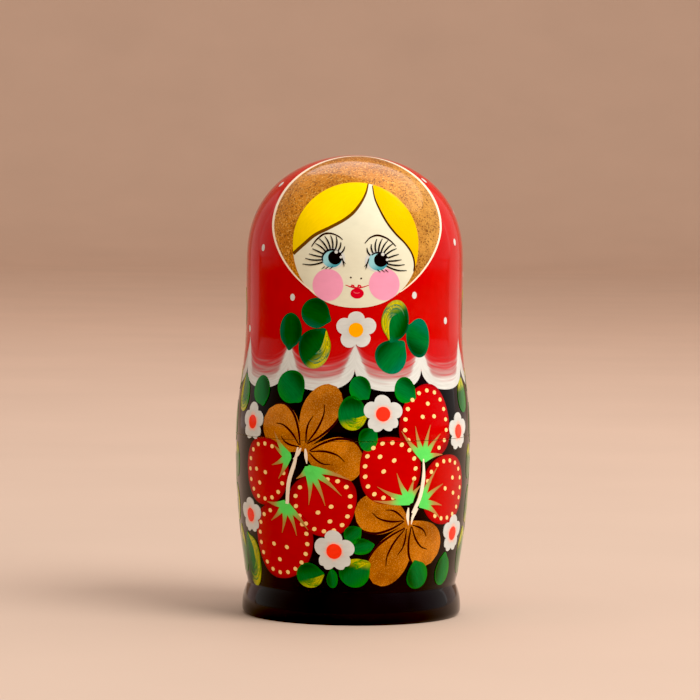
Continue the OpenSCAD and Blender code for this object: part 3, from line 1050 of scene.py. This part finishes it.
# ---------------------------------------------------------------- painting the five dolls
# The kinds of paint: the record's slot, and the material
KINDS = {
    "coat": ("black_lacquer", lacquer_material()),
    "shawl": ("red_paint", paint_material("shawl_red", 0.12, 0.3)),
    "scallops": ("white_paint", paint_material("scallop_white", 0.3)),
    "leaves": ("green_paint", paint_material("leaf_green", 0.5)),
    "flowers": ("white_paint", paint_material("petal_white", 0.14)),
    "berries": ("berry_paint", paint_material("berry_red", 0.12)),
    "sepals": ("green_paint", paint_material("sepal_green", 0.15)),
    "seeds": ("white_paint", paint_material("seed_cream", 0.1)),
    "gold_leaves": ("gold_paint", gold_material("gold_leaf", 4800.0, 95.0, 0.55)),
    "veins": ("detail_paint", paint_material("vein_brown", 0.1)),
    "stems": ("white_paint", paint_material("stem_white", 0.12)),
    "dots": ("white_paint", paint_material("dot_white", 0.1)),
    "hood": ("gold_paint", gold_material("hood_gold", 2100.0, 60.0, 0.8)),
    "hood_line": ("white_paint", paint_material("line_white", 0.1)),
    "face": ("skin_paint", paint_material("skin", 0.06)),
    "hair": ("hair_paint", paint_material("hair_yellow", 0.16)),
    "features": ("detail_paint", paint_material("features", 0.05)),
}
linden = linden_material()


COAT_FOOT, COAT_TOP = 0.02, 104.5       # from just over the foot's edge to under the red of the shawl
SEAM_BELOW, SEAM_ABOVE = 0.15, 0.02     # how far from the upper half's rim the paint stops


def paint_doll(nodes):
    outline = Outline(nodes)
    films = {kind: Film(outline) for kind in KINDS}
    films["coat"].ring(level(outline.z.min() + COAT_FOOT), level(COAT_TOP), 0, BLACK)
    shawl(films)
    scallops(films)
    for back in (False, True):
        body_painting(films, back)
        shawl_painting(films, back)
    side_painting(films)
    face(films)
    halves = [(nodes[0], None, True)]       # body, where its paint is cut, and whether it is above the cut
    if len(nodes) == 2:
        lip = (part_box(nodes[1])[0].z - outline.base) / outline.scale
        below, above_it = (float(outline.along(lip + gap)) for gap in (-SEAM_BELOW, SEAM_ABOVE))
        halves = [(nodes[0], below, False), (nodes[1], above_it, True)]
    for body, t_cut, above in halves:
        for kind, film in films.items():
            slot, material = KINDS[kind]
            build_film(f"{body}_{kind}", film, body, material, t_cut, above)


for doll, members in DOLLS.items():
    if doll == "largest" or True:
        paint_doll(members)
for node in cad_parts.values():
    node.data.materials.clear()
    node.data.materials.append(linden)


# ---------------------------------------------------------------- floor, light and camera
NEAR_TONE, FAR_TONE = rgba(196, 172, 154), rgba(214, 180, 158)
FLOOR_GAP = 0.0001    # metres from the foot down to the floor


def backdrop():
    """A pale floor that curves up into a plain backdrop. All its sizes are in metres."""
    half, front, bend, far, top = 9.0, -6.0, 1.5, 6.0, 5.0
    profile = [(front, 0.0)] + [(far - bend + bend * math.sin(a), bend - bend * math.cos(a))
                                for a in np.linspace(0, math.pi / 2, 25)] + [(far, top)]
    points = [(x, y, z - FLOOR_GAP) for y, z in profile for x in (-half, half)]
    faces = [(2 * i, 2 * i + 1, 2 * i + 3, 2 * i + 2) for i in range(len(profile) - 1)]
    mesh = bpy.data.meshes.new("backdrop")
    mesh.from_pydata(points, [], faces)
    mesh.polygons.foreach_set("use_smooth", [True] * len(faces))
    nodes = Nodes("backdrop")
    depth = nodes.axis("Y")
    tone = nodes.spread(depth, 0.2, 2.4, NEAR_TONE, FAR_TONE)
    cloud = nodes.mix(nodes.noise(nodes.place, 6.0, 3.0), (0.92, 0.92, 0.92, 1), (1.04, 1.04, 1.04, 1))
    nodes.link(nodes.times(tone, cloud), "Base Color")
    nodes.set(Roughness=0.7)
    mesh.materials.append(nodes.material)
    added("backdrop", mesh)


DOLL_MIDDLE = Vector((0, 0, 0.09))


def softbox(name, place, size, watts, colour, glossy=True):
    """A soft light aimed at the middle of the doll, an upright rectangle or else an ellipse. One that isn't
    glossy leaves no reflection in the varnish."""
    light = bpy.data.lights.new(name, "AREA")
    light.shape = "RECTANGLE" if size[1] > size[0] else "ELLIPSE"
    light.size, light.size_y, light.energy, light.color = *size, watts, colour
    aim = (DOLL_MIDDLE - Vector(place)).to_track_quat("-Z", "Y").to_euler()
    added(name, light, location=place, rotation_euler=aim, visible_glossy=glossy)


def studio():
    world = bpy.data.worlds.new("studio")
    world.use_nodes = True
    world.node_tree.nodes["Background"].inputs["Color"].default_value = rgba(234, 226, 219)
    world.node_tree.nodes["Background"].inputs["Strength"].default_value = 0.74
    bpy.context.scene.world = world
    backdrop()
    softbox("key", (1.45, -1.0, 1.9), (1.7, 1.7), 56, (1.0, 0.98, 0.96), glossy=False)
    softbox("side_left", (-0.85, 0.80, 0.30), (0.50, 0.9), 0.35, (1.0, 0.90, 1.0))
    softbox("side_right", (0.85, 0.80, 0.30), (0.60, 0.9), 0.5, (1.0, 0.95, 0.95))
    softbox("above", (0.60, 0.80, 1.8), (3.6, 1.3), 13, (1.0, 0.93, 0.92))


CAMERA_PLACE, TILT_DOWN, TURN = (-0.00145, -1.300, 0.165), 2.96, 0.6      # metres, degrees, degrees
BLACK_POINT, EXPOSURE = 0.016, 0.22     # the linear value that shows as black, and stops


def camera():
    data = bpy.data.cameras.new("camera")
    data.lens, data.sensor_width = 180, 36
    data.clip_start, data.clip_end = 0.05, 20
    turn = (Matrix.Rotation(math.radians(90 - TILT_DOWN), 4, "X")
            @ Matrix.Rotation(math.radians(TURN), 4, "Z"))
    bpy.context.scene.camera = added("camera", data, matrix_world=Matrix.Translation(CAMERA_PLACE) @ turn)


studio()
camera()
settings = bpy.context.scene.view_settings
settings.view_transform = "Standard"
settings.exposure = EXPOSURE
settings.use_curve_mapping = True
settings.curve_mapping.black_level = (BLACK_POINT,) * 3
settings.curve_mapping.update()
